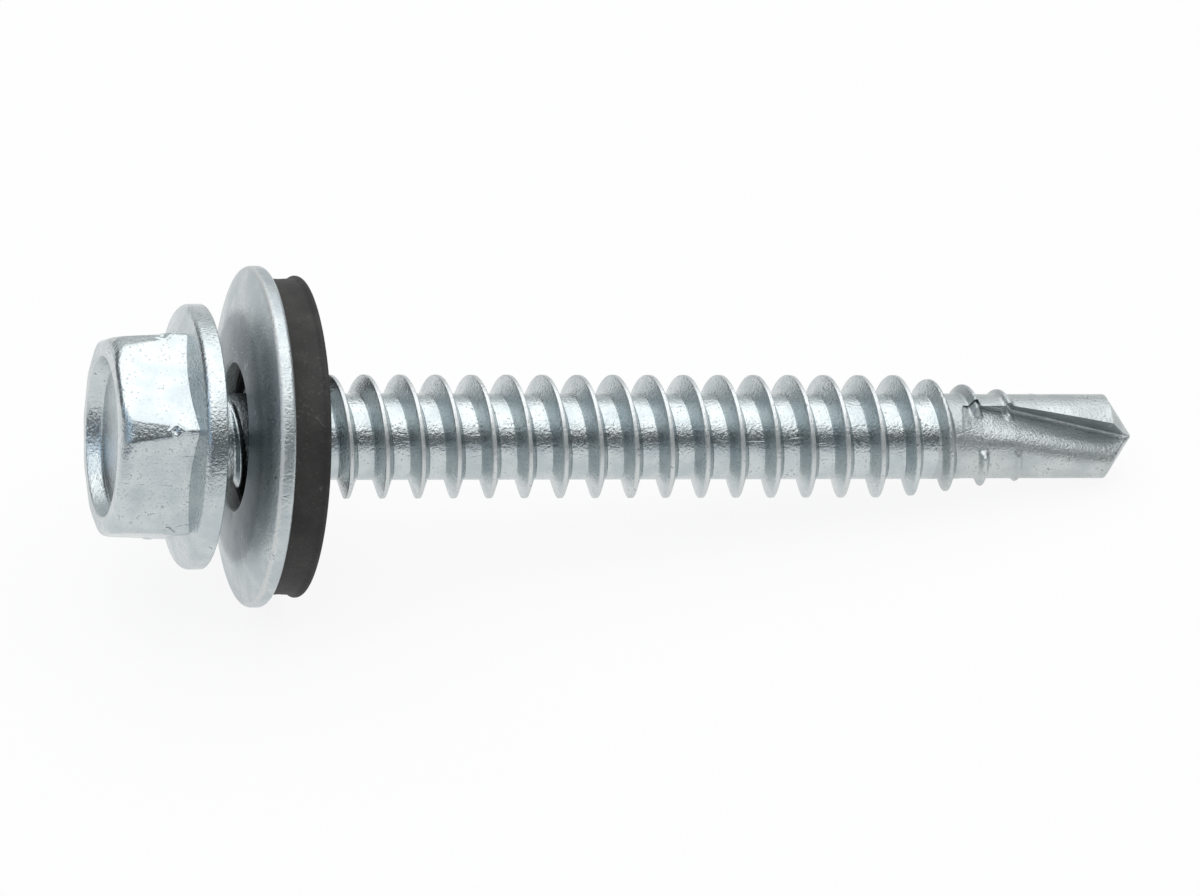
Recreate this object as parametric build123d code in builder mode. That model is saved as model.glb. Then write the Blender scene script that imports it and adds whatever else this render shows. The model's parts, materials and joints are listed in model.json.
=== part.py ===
"""Self drilling screw with an indented hexagon washer head and a captive bonded washer.

Millimetres. The screw lies as it comes to rest: on the rim of its washer and on the drill
point, with the head towards -X and the tip towards +X. Every piece is modelled about the
screw's own axis, where height 0 is the bearing face of the flange, the head has negative
heights and the tip has the largest one.
"""

import os
from math import atan2, cos, radians, sin, sqrt, tan

from build123d import *

os.makedirs("parts", exist_ok=True)

# ---------------------------------------------------------------- driving dimensions

# Hexagon of the head
hex_across_flats = 9.82  # where it meets the flange
hex_draft = 1.8  # degrees that each flat leans in towards the top
head_height = 4.95  # from the bearing face to the rim of the top
hex_edge_radius = 0.42  # rounding of the top edge
corner_fill_top = 5.40  # radius to which the corners are filled, at the top
corner_fill_low = 5.50  # the same at the pips
corner_fill_base = 5.63  # radius of the full corners below the pips
corner_full_height = 2.20  # full corners end this far above the bearing face
corner_pip_rise = 0.25  # height over which the corners drop to the filled radius
hex_angle = 52.2  # one corner, measured about the axis from the side that faces up

# Indentation in the top of the head
recess_mouth_radius = 3.95
recess_floor_radius = 3.55
recess_depth = 0.75
recess_floor_chamfer = 0.26
recess_rim_chamfer = 0.12

# Flange
flange_radius = 6.50
flange_edge_thickness = 0.93
flange_cone_height = 0.62  # rise of its top face up to the hexagon
flange_cone_radius = 4.70  # radius at which the top face ends, inside the hexagon
flange_top_chamfer = 0.18
flange_bottom_chamfer = 0.09
neck_chamfer = 0.30

# Shank and thread
root_radius = 2.13
crest_radius = 3.06
thread_pitch = 1.80
thread_base_width = 0.93
thread_crest_width = 0.20
thread_sink = 0.12  # depth of the thread's foot inside the core
thread_side_height = 1.16  # the thread starts here, on the side that faces up
lead_in_turns = 1  # turns over which it grows to its full height
thread_end_to_tip = 12.14  # the full thread ends about here, after a whole number of turns
span_turns = 3  # the full thread is made in spans of at most this many turns
runout_turns = 4  # turns over which it fades towards the drill point
fade_height = 0.05  # height, foot and crest of the ridge at its faded ends
fade_base_width = 0.30
fade_crest_width = 0.10
thread_gap_above = 1.35  # the last turns are missing over the flutes, this far on one side
thread_gap_below = 1.00  # and this far on the other side of the flute's middle line
thread_gap_lead = 0.30  # the gaps begin this far before the flutes

# Drill point
point_radius = 2.10
screw_length = 47.50  # from the bearing face to the tip
point_angle = 108.0
tip_flat_radius = 0.10
flute_length = 9.30
flute_runout = 2.80  # length over which the flute rises to the surface
flute_angle = 55.5  # direction of the flute's middle line, from the side that faces up
flute_root_out = 0.395  # root of the flute at the tip, along that line
flute_root_aside = 0.107  # and across it
flute_rise_out = 0.060  # how the root moves for each millimetre towards the head
flute_rise_aside = -0.221
flute_wall_angle = -16.0  # rake wall, from the middle line
flute_floor_angle = 45.0  # floor, from the middle line
flute_root_fillet = 0.35
flute_heel_radius = 0.80
flute_faded_depth = 0.04  # share of its depth that a flute has where it starts
tip_overrun = 0.30  # the fluted blank reaches past the tip before the cone is cut
section_steps = 4

# Bonded washer
washer_height = 1.60  # top edge of its hole above the bearing face, as it lies
washer_hole_radius = 3.64
washer_rim_radius = 8.37
washer_thickness = 0.75
washer_dome = 0.65  # the hole stands this much higher than the rim
washer_rim_chamfer = 0.17
washer_hole_chamfer = 0.07

# Seal bonded under the washer
seal_radius = 7.90
seal_thickness = 1.92
seal_bore_clearance = 0.08  # between the stretched bore and the thread's crests

# ---------------------------------------------------------------- derived sizes

head_top = -head_height
recess_bottom = head_top + recess_depth
flange_shoulder = -flange_edge_thickness
flange_cone_top = flange_shoulder - flange_cone_height
hex_foot = flange_shoulder  # the hexagon starts inside the flange
hex_top_flats = hex_across_flats - 2 * (hex_foot - head_top) * tan(radians(hex_draft))

crest_height = crest_radius - root_radius
full_start = thread_side_height + lead_in_turns * thread_pitch
full_turns = round((screw_length - thread_end_to_tip - full_start) / thread_pitch)
full_end = full_start + full_turns * thread_pitch
runout_end = full_end + runout_turns * thread_pitch

point_height = (point_radius - tip_flat_radius) / tan(radians(point_angle / 2))
shoulder_height = screw_length - point_height
flute_start = screw_length - flute_length
flute_full = flute_start + flute_runout
thread_gap_start = flute_start - thread_gap_lead
section_heights = [
    flute_full + (screw_length + tip_overrun - flute_full) * share / section_steps
    for share in range(section_steps + 1)
]

washer_slope = washer_dome / (washer_rim_radius - washer_hole_radius)
rim_top = washer_height + washer_dome
rim_bottom = rim_top + washer_thickness
seal_bore_radius = crest_radius + seal_bore_clearance


def washer_underside(radius):
    """Height of the washer's lower face at a radius from the axis."""
    return rim_bottom - washer_slope * (washer_rim_radius - radius)


def seal_underside(radius):
    """Height of the seal's lower face at a radius from the axis."""
    return washer_underside(radius) + seal_thickness


# ---------------------------------------------------------------- how it lies

# The floor touches the lower edge of the washer's rim and the shoulder of the lands.
rim_contact = rim_bottom - washer_rim_chamfer
rest_tilt = atan2(washer_rim_radius - point_radius, shoulder_height - rim_contact)
axis_height = rim_contact * sin(rest_tilt) + washer_rim_radius * cos(rest_tilt)

# The origin is below the middle of the whole length.
head_reach = (
    (head_height - hex_edge_radius) * cos(rest_tilt)
    + (corner_fill_top - hex_edge_radius) * sin(rest_tilt)
    + hex_edge_radius
)
tip_reach = screw_length * cos(rest_tilt) + tip_flat_radius * sin(rest_tilt)
axis_start = (head_reach - tip_reach) / 2

# Origin on the axis in the bearing face, x towards the side that faces up, z to the tip.
screw_plane = Plane(
    origin=(axis_start, 0, axis_height),
    x_dir=(sin(rest_tilt), 0, cos(rest_tilt)),
    z_dir=(cos(rest_tilt), 0, -sin(rest_tilt)),
)
# Half plane for turned profiles: x is the radius and y the height along the axis.
profile_plane = Plane(
    origin=screw_plane.origin,
    x_dir=screw_plane.x_dir,
    z_dir=-screw_plane.y_dir,
)
screw_axis = Axis(screw_plane.origin, screw_plane.z_dir)


def turned_plane(angle):
    """The screw's plane turned about its axis, away from the side that faces up."""
    return Plane(
        origin=screw_plane.origin,
        x_dir=screw_plane.x_dir.rotate(screw_axis, angle),
        z_dir=screw_plane.z_dir,
    )


hex_plane = turned_plane(hex_angle)
flute_plane = turned_plane(flute_angle)


# ---------------------------------------------------------------- head

# Hexagon, with corners that the forging die left partly unfilled above the pips
with BuildPart() as hexagon:
    for height, across_flats in ((hex_foot, hex_across_flats), (head_top, hex_top_flats)):
        with BuildSketch(hex_plane.offset(height)):
            RegularPolygon(radius=across_flats / 2, side_count=6, major_radius=False)
    loft(ruled=True)
    with BuildSketch(profile_plane):
        Polygon(
            (0, hex_foot),
            (corner_fill_base, hex_foot),
            (corner_fill_base, -corner_full_height),
            (corner_fill_low, -corner_full_height - corner_pip_rise),
            (corner_fill_top, head_top),
            (0, head_top),
            align=None,
        )
    revolve(axis=screw_axis, mode=Mode.INTERSECT)
    fillet(hexagon.faces().sort_by(screw_axis)[0].edges(), radius=hex_edge_radius)

# Indentation in the top
with BuildPart() as recess:
    with BuildSketch(profile_plane) as recess_profile:
        Polygon(
            (0, recess_bottom),
            (recess_floor_radius, recess_bottom),
            (recess_mouth_radius, head_top + recess_rim_chamfer),
            (recess_mouth_radius + 2 * recess_rim_chamfer, head_top - recess_rim_chamfer),
            (0, head_top - recess_rim_chamfer),
            align=None,
        )
        floor_corner = recess_profile.vertices().group_by(Axis.Y)[-1].sort_by(Axis.X)[-1]
        chamfer(floor_corner, length=recess_floor_chamfer)
    revolve(axis=screw_axis)

# Flange that is one with the hexagon
with BuildPart() as flange:
    with BuildSketch(profile_plane) as flange_profile:
        Polygon(
            (0, 0),
            (flange_radius, 0),
            (flange_radius, flange_shoulder),
            (flange_cone_radius, flange_cone_top),
            (0, flange_cone_top),
            align=None,
        )
        rim_corners = flange_profile.vertices().sort_by(Axis.X)[-2:].sort_by(Axis.Y)
        chamfer(rim_corners[0], length=flange_top_chamfer)
        bearing_corner = flange_profile.vertices().group_by(Axis.Y)[-1].sort_by(Axis.X)[-1]
        chamfer(bearing_corner, length=flange_bottom_chamfer)
    revolve(axis=screw_axis)

# ---------------------------------------------------------------- shank and thread

# Core from inside the flange to the start of the flutes
with BuildPart() as core:
    with BuildSketch(profile_plane) as core_profile:
        Polygon(
            (0, flange_shoulder),
            (root_radius + neck_chamfer, flange_shoulder),
            (root_radius + neck_chamfer, 0),
            (root_radius, neck_chamfer),
            (root_radius, flute_start),
            (0, flute_start),
            align=None,
        )
    revolve(axis=screw_axis)


def ridge_section(plane, height, base_width, crest_width):
    """Cross-section of the thread's ridge, which stands on the core and sinks into it."""
    foot = base_width / 2 + (base_width - crest_width) / 2 / height * thread_sink
    with BuildSketch(plane) as section:
        Polygon(
            (-thread_sink, -foot),
            (height, -crest_width / 2),
            (height, crest_width / 2),
            (-thread_sink, foot),
            align=None,
        )
    return section.sketch


def ridge_path(start, turns):
    """Helix on the core that starts on the side that faces up."""
    with BuildLine() as path:
        Helix(
            pitch=thread_pitch,
            height=turns * thread_pitch,
            radius=root_radius,
            center=screw_plane.offset(start).origin,
            direction=screw_plane.z_dir,
        )
    return path.line


def across(path, position):
    """Plane across a helix of whole turns at one of its ends."""
    return Plane(origin=path @ position, x_dir=screw_plane.x_dir, z_dir=path % position)


full_ridge = (crest_height, thread_base_width, thread_crest_width)
faded_ridge = (fade_height, fade_base_width, fade_crest_width)
spans = [(thread_side_height, lead_in_turns, faded_ridge, full_ridge)]
for turns_before in range(0, full_turns, span_turns):
    span_start = full_start + turns_before * thread_pitch
    turns = min(span_turns, full_turns - turns_before)
    spans.append((span_start, turns, full_ridge, full_ridge))
spans.append((full_end, runout_turns, full_ridge, faded_ridge))

# Where the two flutes interrupt the last turns
with BuildPart() as thread_gap:
    with BuildSketch(flute_plane.offset(thread_gap_start)):
        for side in (1, -1):
            Polygon(
                (0, -side * thread_gap_above),
                (2 * side * crest_radius, -side * thread_gap_above),
                (2 * side * crest_radius, side * thread_gap_below),
                (0, side * thread_gap_below),
                align=None,
            )
    extrude(amount=runout_end - thread_gap_start + thread_pitch)

# Helical ridge: lead-in under the head, full thread and run-out towards the drill point
with BuildPart() as thread:
    for start, turns, first, last in spans:
        path = ridge_path(start, turns)
        sections = [
            ridge_section(across(path, 0), *first),
            ridge_section(across(path, 1), *last),
        ]
        sweep(sections, path=path, is_frenet=True, multisection=True)
    add(thread_gap.part, mode=Mode.SUBTRACT)

# ---------------------------------------------------------------- drill point


def direction(angle):
    """Unit vector in the plane of a cross-section."""
    return Vector(cos(radians(angle)), sin(radians(angle)))


def chord_end(start, heading, radius):
    """Where a line from inside a circle about the axis leaves that circle."""
    along = start.dot(heading)
    return start + heading * (sqrt(along**2 + radius**2 - start.dot(start)) - along)


def flute_corners(height):
    """Corner points of one flute in the cross-section at a height.

    They run from the cutting edge over the rake wall, the root fillet and the floor to the
    rounded heel, and the two middle points of the fillet and of the heel come last.
    """
    back = screw_length - height
    root = Vector(
        flute_root_out + flute_rise_out * back,
        flute_root_aside + flute_rise_aside * back,
    )
    wall = direction(flute_wall_angle)
    floor = direction(flute_floor_angle)
    floor_normal = direction(flute_floor_angle - 90)
    half_opening = radians(flute_floor_angle - flute_wall_angle) / 2
    middle = direction((flute_floor_angle + flute_wall_angle) / 2)
    fillet_reach = flute_root_fillet / tan(half_opening)
    fillet_centre = root + middle * (flute_root_fillet / sin(half_opening))
    heel_offset = root.dot(floor_normal) - flute_heel_radius
    heel_distance = point_radius - flute_heel_radius
    heel_centre = floor_normal * heel_offset + floor * sqrt(heel_distance**2 - heel_offset**2)
    heel_start = heel_centre + floor_normal * flute_heel_radius
    heel_end = heel_centre.normalized() * point_radius
    heel_normal = (floor_normal + heel_centre.normalized()).normalized()
    heel_middle = heel_centre + heel_normal * flute_heel_radius
    return (
        chord_end(root, wall, point_radius),
        root + wall * fillet_reach,
        root + floor * fillet_reach,
        heel_start,
        heel_end,
        fillet_centre - middle * flute_root_fillet,
        heel_middle,
    )


def point_section(height, flutes_at, depth):
    """Cross-section through the two lands and the two flutes of the drill point.

    The flutes have the form that they have at the height flutes_at, at a share of their depth.
    """
    corners = [
        corner.normalized() * (point_radius - depth * (point_radius - corner.length))
        for corner in flute_corners(flutes_at)
    ]
    with BuildSketch(flute_plane.offset(height)) as section:
        with BuildLine():
            for turn in (0, 180):
                edge, wall_end, floor_start, floor_end, heel_end, root_middle, heel_middle = (
                    corner.rotate(Axis.Z, turn) for corner in corners
                )
                land_start = heel_end.rotate(Axis.Z, 180)
                land_middle = (edge + land_start).normalized() * point_radius
                ThreePointArc(land_start, land_middle, edge)
                Line(edge, wall_end)
                ThreePointArc(wall_end, root_middle, floor_start)
                Line(floor_start, floor_end)
                ThreePointArc(floor_end, heel_middle, heel_end)
        make_face()
    return section.sketch


# Two fluted lands, which run out into the round core, cut to the point's cone
with BuildPart() as drill_point:
    loft(
        [
            point_section(flute_start, flute_full, flute_faded_depth),
            point_section(flute_full, flute_full, 1),
        ],
        ruled=True,
    )
    loft([point_section(height, height, 1) for height in section_heights])
    with BuildSketch(profile_plane) as point_profile:
        Polygon(
            (0, flute_start),
            (2 * point_radius, flute_start),
            (2 * point_radius, shoulder_height - point_radius / tan(radians(point_angle / 2))),
            (tip_flat_radius, screw_length),
            (0, screw_length),
            align=None,
        )
    revolve(axis=screw_axis, mode=Mode.INTERSECT)

# ---------------------------------------------------------------- the three pieces

# Screw: one piece of steel, forged at the head, rolled at the thread, pinched at the point
with BuildPart() as screw:
    add(core.part)
    add(thread.part)
    add(drill_point.part)
    add(hexagon.part)
    add(flange.part)
    add(recess.part, mode=Mode.SUBTRACT)
screw.part.label = "screw"
export_step(screw.part, "parts/screw.step")

# Domed steel washer, its hole standing nearer to the head than its rim
with BuildPart() as steel_washer:
    with BuildSketch(profile_plane) as washer_profile:
        Polygon(
            (washer_hole_radius, washer_height),
            (washer_rim_radius, rim_top),
            (washer_rim_radius, rim_bottom),
            (washer_hole_radius, washer_underside(washer_hole_radius)),
            align=None,
        )
        rim_side = washer_profile.vertices().group_by(Axis.X)[-1]
        chamfer(rim_side, length=washer_rim_chamfer)
        hole_top = washer_profile.vertices().sort_by(Axis.Y)[0]
        chamfer(hole_top, length=washer_hole_chamfer)
    revolve(axis=screw_axis)
steel_washer.part.label = "steel_washer"
export_step(steel_washer.part, "parts/steel_washer.step")

# Rubber seal bonded to the washer's lower face, its bore stretched over the thread
with BuildPart() as seal:
    with BuildSketch(profile_plane):
        Polygon(
            (seal_bore_radius, washer_underside(seal_bore_radius)),
            (seal_radius, washer_underside(seal_radius)),
            (seal_radius, seal_underside(seal_radius)),
            (seal_bore_radius, seal_underside(seal_bore_radius)),
            align=None,
        )
    revolve(axis=screw_axis)
seal.part.label = "seal"
export_step(seal.part, "parts/seal.step")
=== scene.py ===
"""Dressed model of a self drilling screw with an indented hexagon washer head.

The screw lies at rest on the rim of its captive bonded washer and on its drill point.
Every piece is worked out about the screw's own axis, in millimetres, where height 0 is the
bearing face of the flange, the head has negative heights and the tip has the largest one.
Angles run about the axis from the side that faces up towards the front. The finished
meshes are in metres, in the frame of the CAD model.
"""

import json
import logging
from dataclasses import asdict, dataclass
from enum import Enum
from math import atan2, cos, hypot, pi, radians, sin, sqrt, tan
from typing import Callable, Sequence

import bmesh
import bpy
import numpy as np
from mathutils import Matrix, Vector


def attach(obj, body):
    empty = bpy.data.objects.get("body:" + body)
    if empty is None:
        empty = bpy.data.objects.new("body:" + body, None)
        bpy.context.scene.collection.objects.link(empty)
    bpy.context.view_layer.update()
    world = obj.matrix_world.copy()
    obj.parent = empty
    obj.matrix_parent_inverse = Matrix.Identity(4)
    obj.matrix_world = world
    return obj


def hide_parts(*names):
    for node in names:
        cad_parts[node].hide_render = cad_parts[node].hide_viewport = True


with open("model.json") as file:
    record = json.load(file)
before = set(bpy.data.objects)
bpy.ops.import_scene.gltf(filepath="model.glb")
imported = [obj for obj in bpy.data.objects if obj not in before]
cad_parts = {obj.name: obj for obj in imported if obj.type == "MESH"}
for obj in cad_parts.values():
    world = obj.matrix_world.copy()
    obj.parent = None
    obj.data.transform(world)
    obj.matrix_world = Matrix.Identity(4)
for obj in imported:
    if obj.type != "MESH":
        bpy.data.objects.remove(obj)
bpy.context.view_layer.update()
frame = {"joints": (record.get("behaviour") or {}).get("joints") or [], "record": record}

MILLIMETRE = 0.001
log = logging.getLogger("screw")


class Side(Enum):
    """The way a lamp or camera looks from, as azimuth and elevation in degrees."""

    CAMERA = (11.72, 35.75)
    OVERHEAD = (11.72, 96.0)
    HEAD = (80.0, 32.0)
    POINT = (-72.0, 30.0)
    BACK = (191.72, 20.0)
    LOW = (11.72, 5.0)


def direction_of(side: Side) -> Vector:
    """Unit vector from the object towards a side.

    The azimuth swings from the front towards the head. An elevation past 90 leans over to
    the back.

    Args:
        side: The side.

    Returns:
        The unit vector in the frame of the model.
    """
    swing, lift = (radians(angle) for angle in side.value)
    return Vector((-sin(swing) * cos(lift), -cos(swing) * cos(lift), sin(lift)))


# ---------------------------------------------------------------- the screw's own axes


@dataclass(frozen=True)
class ScrewAxes:
    """Where the screw lies: its start in the bearing face and its three directions."""

    start: Vector
    along: Vector
    up: Vector
    front: Vector

    @classmethod
    def of_frame(cls, thread_middle: float = 19.16) -> "ScrewAxes":
        """Read the axes from the frame's slide joint and its thread mount.

        Args:
            thread_middle: Height of the thread mount above the bearing face, in millimetres.

        Returns:
            The screw's axes in metres.
        """
        along = Vector(frame["joints"][0]["axis"]).normalized()
        up = Vector((-along.z, 0.0, along.x))
        mounts = frame["record"]["mounts"]
        middle = next(mount for mount in mounts if mount["name"] == "thread")["pos_m"]
        start = Vector(middle) - along * thread_middle * MILLIMETRE
        return cls(start, along, up, along.cross(up))

    def matrix(self) -> Matrix:
        """Matrix from the screw's own millimetres to the frame's metres."""
        turn = Matrix((self.up, self.front, self.along)).transposed()
        return Matrix.Translation(self.start) @ turn.to_4x4() @ Matrix.Scale(MILLIMETRE, 4)


# ---------------------------------------------------------------- meshes


def smooth_step(value: np.ndarray, low: float, high: float) -> np.ndarray:
    """Smooth rise from 0 at low to 1 at high.

    Args:
        value: Values to map.
        low: Where the rise starts.
        high: Where it ends.

    Returns:
        The mapped values.
    """
    share = np.clip((value - low) / (high - low), 0.0, 1.0)
    return share * share * (3.0 - 2.0 * share)


def smooth_minimum(first: np.ndarray, second: np.ndarray, reach: float) -> np.ndarray:
    """The lower of two surfaces, with the edge between them rounded.

    Args:
        first: One surface.
        second: The other surface.
        reach: Distance from the edge over which it is rounded.

    Returns:
        The rounded minimum.
    """
    blend = np.clip(0.5 + 0.5 * (second - first) / reach, 0.0, 1.0)
    return second + (first - second) * blend - reach * blend * (1.0 - blend)


def bell(distance: np.ndarray | float, width: float) -> np.ndarray:
    """Smooth bump that is 1 where the distance is 0 and has faded two widths away."""
    return np.exp(-((distance / width) ** 2))


def ripple(phase: np.ndarray, seed: int, waves: int = 6) -> np.ndarray:
    """A smooth random wave, one value for each phase, that closes after a full turn.

    Args:
        phase: Angles in radians.
        seed: Seed of the wave.
        waves: How many harmonics are added.

    Returns:
        Values of about plus or minus one.
    """
    source = np.random.default_rng(seed)
    total = np.zeros_like(phase)
    for order in range(1, waves + 1):
        total += source.normal() * np.sin(order * phase + source.uniform(0, 2 * pi)) / sqrt(order)
    return total / sqrt(waves)


@dataclass
class Outline:
    """An outline of a turned shape that grows point by point, as (radius, height) pairs."""

    points: list[tuple[float, float]]

    @classmethod
    def of_corners(
        cls,
        corners: Sequence[tuple[float, float]],
        roundings: Sequence[float],
        spacing: float,
        closed: bool = True,
    ) -> "Outline":
        """Round the corners of a polygon and divide its runs.

        Args:
            corners: Corner points as (radius, height).
            roundings: Radius of the rounding at each corner.
            spacing: Largest distance between two points.
            closed: Whether the last corner joins the first one.

        Returns:
            The dense outline.
        """
        outline = cls([])
        count = len(corners)
        for index, (corner, radius) in enumerate(zip(corners, roundings)):
            here = np.array(corner, float)
            ends = not closed and index in (0, count - 1)
            if ends or radius <= 0:
                outline.run_to(here, spacing)
                continue
            before = np.array(corners[index - 1], float) - here
            after = np.array(corners[(index + 1) % count], float) - here
            before /= np.linalg.norm(before)
            after /= np.linalg.norm(after)
            half = np.arccos(np.clip(before @ after, -1, 1)) / 2
            middle = (before + after) / np.linalg.norm(before + after)
            centre = here + middle * radius / np.sin(half)
            first = here + before * radius / np.tan(half)
            last = here + after * radius / np.tan(half)
            outline.run_to(first, spacing)
            sweep = pi - 2 * half
            steps = max(3, int(np.ceil(sweep * radius / (0.35 * spacing))), int(sweep / 0.2))
            for step in range(1, steps + 1):
                share = step / steps
                arm = (first - centre) * np.sin((1 - share) * sweep)
                arm += (last - centre) * np.sin(share * sweep)
                outline.points.append(tuple(centre + arm / np.sin(sweep)))
        if closed:
            outline.run_to(np.array(outline.points[0]), spacing)
            outline.points.pop()
        return outline

    def run_to(self, end: np.ndarray, spacing: float) -> None:
        """Add a straight run to a point, divided into steps of at most the spacing."""
        if not self.points:
            self.points.append(tuple(end))
            return
        start = np.array(self.points[-1])
        steps = max(1, int(np.ceil(np.linalg.norm(end - start) / spacing)))
        for step in range(1, steps + 1):
            self.points.append(tuple(start + (end - start) * step / steps))

    def arrays(self) -> tuple[np.ndarray, np.ndarray]:
        """The radii and the heights as two arrays."""
        table = np.array(self.points)
        return table[:, 0], table[:, 1]


def stacked(rings: Sequence[tuple], columns: int) -> list[np.ndarray]:
    """Stack rings, whose parts are each a number or a row, into one array for each part."""
    width = (columns,)
    return [np.stack([np.broadcast_to(part, width) for part in parts]) for parts in zip(*rings)]


@dataclass
class Shell:
    """A closed shell made of rings of points about the screw's axis, in millimetres."""

    name: str
    radii: np.ndarray
    angles: np.ndarray
    heights: np.ndarray
    marks: dict[str, np.ndarray]
    tube: bool = False

    def build(self, axes: ScrewAxes, sharp_angle: float = 38.0) -> bpy.types.Object:
        """Make the mesh and put it where the screw lies.

        Args:
            axes: The screw's axes.
            sharp_angle: Edges that bend by more than this many degrees stay crisp.

        Returns:
            The finished object.
        """
        radii, angles, heights = np.broadcast_arrays(self.radii, self.angles, self.heights)
        rings, columns = heights.shape
        across, aside = radii * np.cos(angles), radii * np.sin(angles)
        points = np.stack([across, aside, heights], axis=-1).reshape(-1, 3)
        column = np.arange(columns)
        following = np.roll(column, -1)
        ring = np.arange(rings if self.tube else rings - 1)[:, None]
        here, there = ring * columns, (ring + 1) % rings * columns
        corners = [here + column, here + following, there + following, there + column]
        vertices = points.tolist()
        polygons = np.stack(corners, axis=-1).reshape(-1, 4).tolist()
        if not self.tube:
            for base in (0, (rings - 1) * columns):
                pole = len(vertices)
                vertices.append((0.0, 0.0, float(points[base : base + columns, 2].mean())))
                polygons += [[base + a, base + b, pole] for a, b in zip(column, following)]
        mesh = bpy.data.meshes.new(self.name)
        mesh.from_pydata(vertices, [], polygons)
        for mark, values in self.marks.items():
            attribute = mesh.attributes.new(mark, "FLOAT", "POINT")
            flat = np.zeros(len(vertices), dtype=np.float32)
            flat[: heights.size] = np.broadcast_to(values, heights.shape).reshape(-1)
            attribute.data.foreach_set("value", flat)
        return finished(self.name, mesh, axes.matrix(), sharp_angle)


def finished(
    name: str, mesh: bpy.types.Mesh, place: Matrix, sharp_angle: float
) -> bpy.types.Object:
    """Close a mesh, turn its faces outwards, place it and link it as an object.

    Args:
        name: Name of the piece.
        mesh: Its mesh in the screw's own millimetres.
        place: Matrix to the frame's metres.
        sharp_angle: Edges that bend by more than this many degrees stay crisp.

    Returns:
        The object, at the origin and unturned.
    """
    form = bmesh.new()
    form.from_mesh(mesh)
    bmesh.ops.remove_doubles(form, verts=form.verts, dist=0.0005)
    bmesh.ops.dissolve_degenerate(form, edges=form.edges, dist=0.0002)
    bmesh.ops.recalc_face_normals(form, faces=form.faces)
    if form.calc_volume(signed=True) < 0:
        bmesh.ops.reverse_faces(form, faces=form.faces)
    form.to_mesh(mesh)
    form.free()
    mesh.transform(place)
    mesh.shade_smooth()
    mesh.set_sharp_from_angle(angle=radians(sharp_angle))
    mesh.update()
    piece = bpy.data.objects.new(name, mesh)
    bpy.context.scene.collection.objects.link(piece)
    return piece


# ---------------------------------------------------------------- node trees

Colour = tuple[float, float, float, float]
PER_MILLIMETRE = 1.0 / MILLIMETRE


@dataclass
class Signal:
    """A node's output that takes part in sums, products and quotients.

    Each sign adds the math node of that operation.
    """

    bench: "NodeBench"
    socket: bpy.types.NodeSocket

    def __add__(self, other: object) -> "Signal":
        return self.bench.math("ADD", self, other)

    def __sub__(self, other: object) -> "Signal":
        return self.bench.math("SUBTRACT", self, other)

    def __rsub__(self, other: object) -> "Signal":
        return self.bench.math("SUBTRACT", other, self)

    def __mul__(self, other: object) -> "Signal":
        return self.bench.math("MULTIPLY", self, other)

    def __truediv__(self, other: object) -> "Signal":
        return self.bench.math("DIVIDE", self, other)

    def __rtruediv__(self, other: object) -> "Signal":
        return self.bench.math("DIVIDE", other, self)


@dataclass
class NodeBench:
    """A node tree with short ways to add, set and link its nodes."""

    tree: bpy.types.NodeTree

    def feed(self, node: bpy.types.Node, inputs: dict[str | int, object]) -> None:
        """Set inputs of a node to values, or link outputs to them.

        Args:
            node: The node.
            inputs: Value or output for each input, by its name or number.
        """
        for key, value in inputs.items():
            if isinstance(value, Signal):
                self.tree.links.new(value.socket, node.inputs[key])
            else:
                node.inputs[key].default_value = value

    def add(self, kind: str, inputs: dict | None = None, **settings: object) -> bpy.types.Node:
        """Add a node.

        Args:
            kind: The node's type name.
            inputs: Value or output for each input, by its name or number.
            **settings: Properties of the node.

        Returns:
            The new node.
        """
        node = self.tree.nodes.new(kind)
        for key, value in settings.items():
            setattr(node, key, value)
        self.feed(node, inputs or {})
        return node

    def take(
        self, kind: str, inputs: dict | None = None, output: str | int = 0, **settings: object
    ) -> Signal:
        """Add a node as above and return one of its outputs, by its name or number."""
        return Signal(self, self.add(kind, inputs, **settings).outputs[output])

    def outputs(self, kind: str, inputs: dict | None = None, **settings: object) -> dict:
        """Add a node as above and return all its outputs by name."""
        node = self.add(kind, inputs, **settings)
        return {socket.name: Signal(self, socket) for socket in node.outputs}

    def math(self, operation: str, *values: object, clamp: bool = False) -> Signal:
        """Add a math node.

        Args:
            operation: The node's operation.
            *values: Its inputs, each a number or an output.
            clamp: Whether the result is held between 0 and 1.

        Returns:
            The result.
        """
        inputs = dict(enumerate(values))
        return self.take("ShaderNodeMath", inputs, operation=operation, use_clamp=clamp)

    def ramp(self, value: Signal, low: object, high: object) -> Signal:
        """Add a map range node that rises smoothly from 0 at low to 1 at high."""
        inputs = {"Value": value, "From Min": low, "From Max": high}
        return self.take("ShaderNodeMapRange", inputs, "Result", interpolation_type="SMOOTHSTEP")

    def blend(self, share: Signal, first: object, second: object) -> Signal:
        """Add a colour mix node, where the share says how much of the second colour shows."""
        node = self.add("ShaderNodeMix", {"Factor": share}, data_type="RGBA")
        slots = [index for index, socket in enumerate(node.inputs) if socket.type == "RGBA"]
        self.feed(node, dict(zip(slots, (first, second))))
        return Signal(self, next(socket for socket in node.outputs if socket.type == "RGBA"))

    def noise(self, vector: Signal, scale: object, detail: float, rough: float) -> Signal:
        """Add a noise texture.

        Args:
            vector: Its coordinates.
            scale: Its scale.
            detail: How many octaves it has.
            rough: How strong the finer octaves are.

        Returns:
            The noise value.
        """
        inputs = {"Vector": vector, "Scale": scale, "Detail": detail, "Roughness": rough}
        return self.take("ShaderNodeTexNoise", inputs, noise_dimensions="3D")


def add_numbers(group: bpy.types.NodeTree, sizes: dict[str, float]) -> None:
    """Give a node group number inputs with these names and defaults."""
    for key, value in sizes.items():
        socket = group.interface.new_socket(key, in_out="INPUT", socket_type="NodeSocketFloat")
        socket.default_value = value


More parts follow.
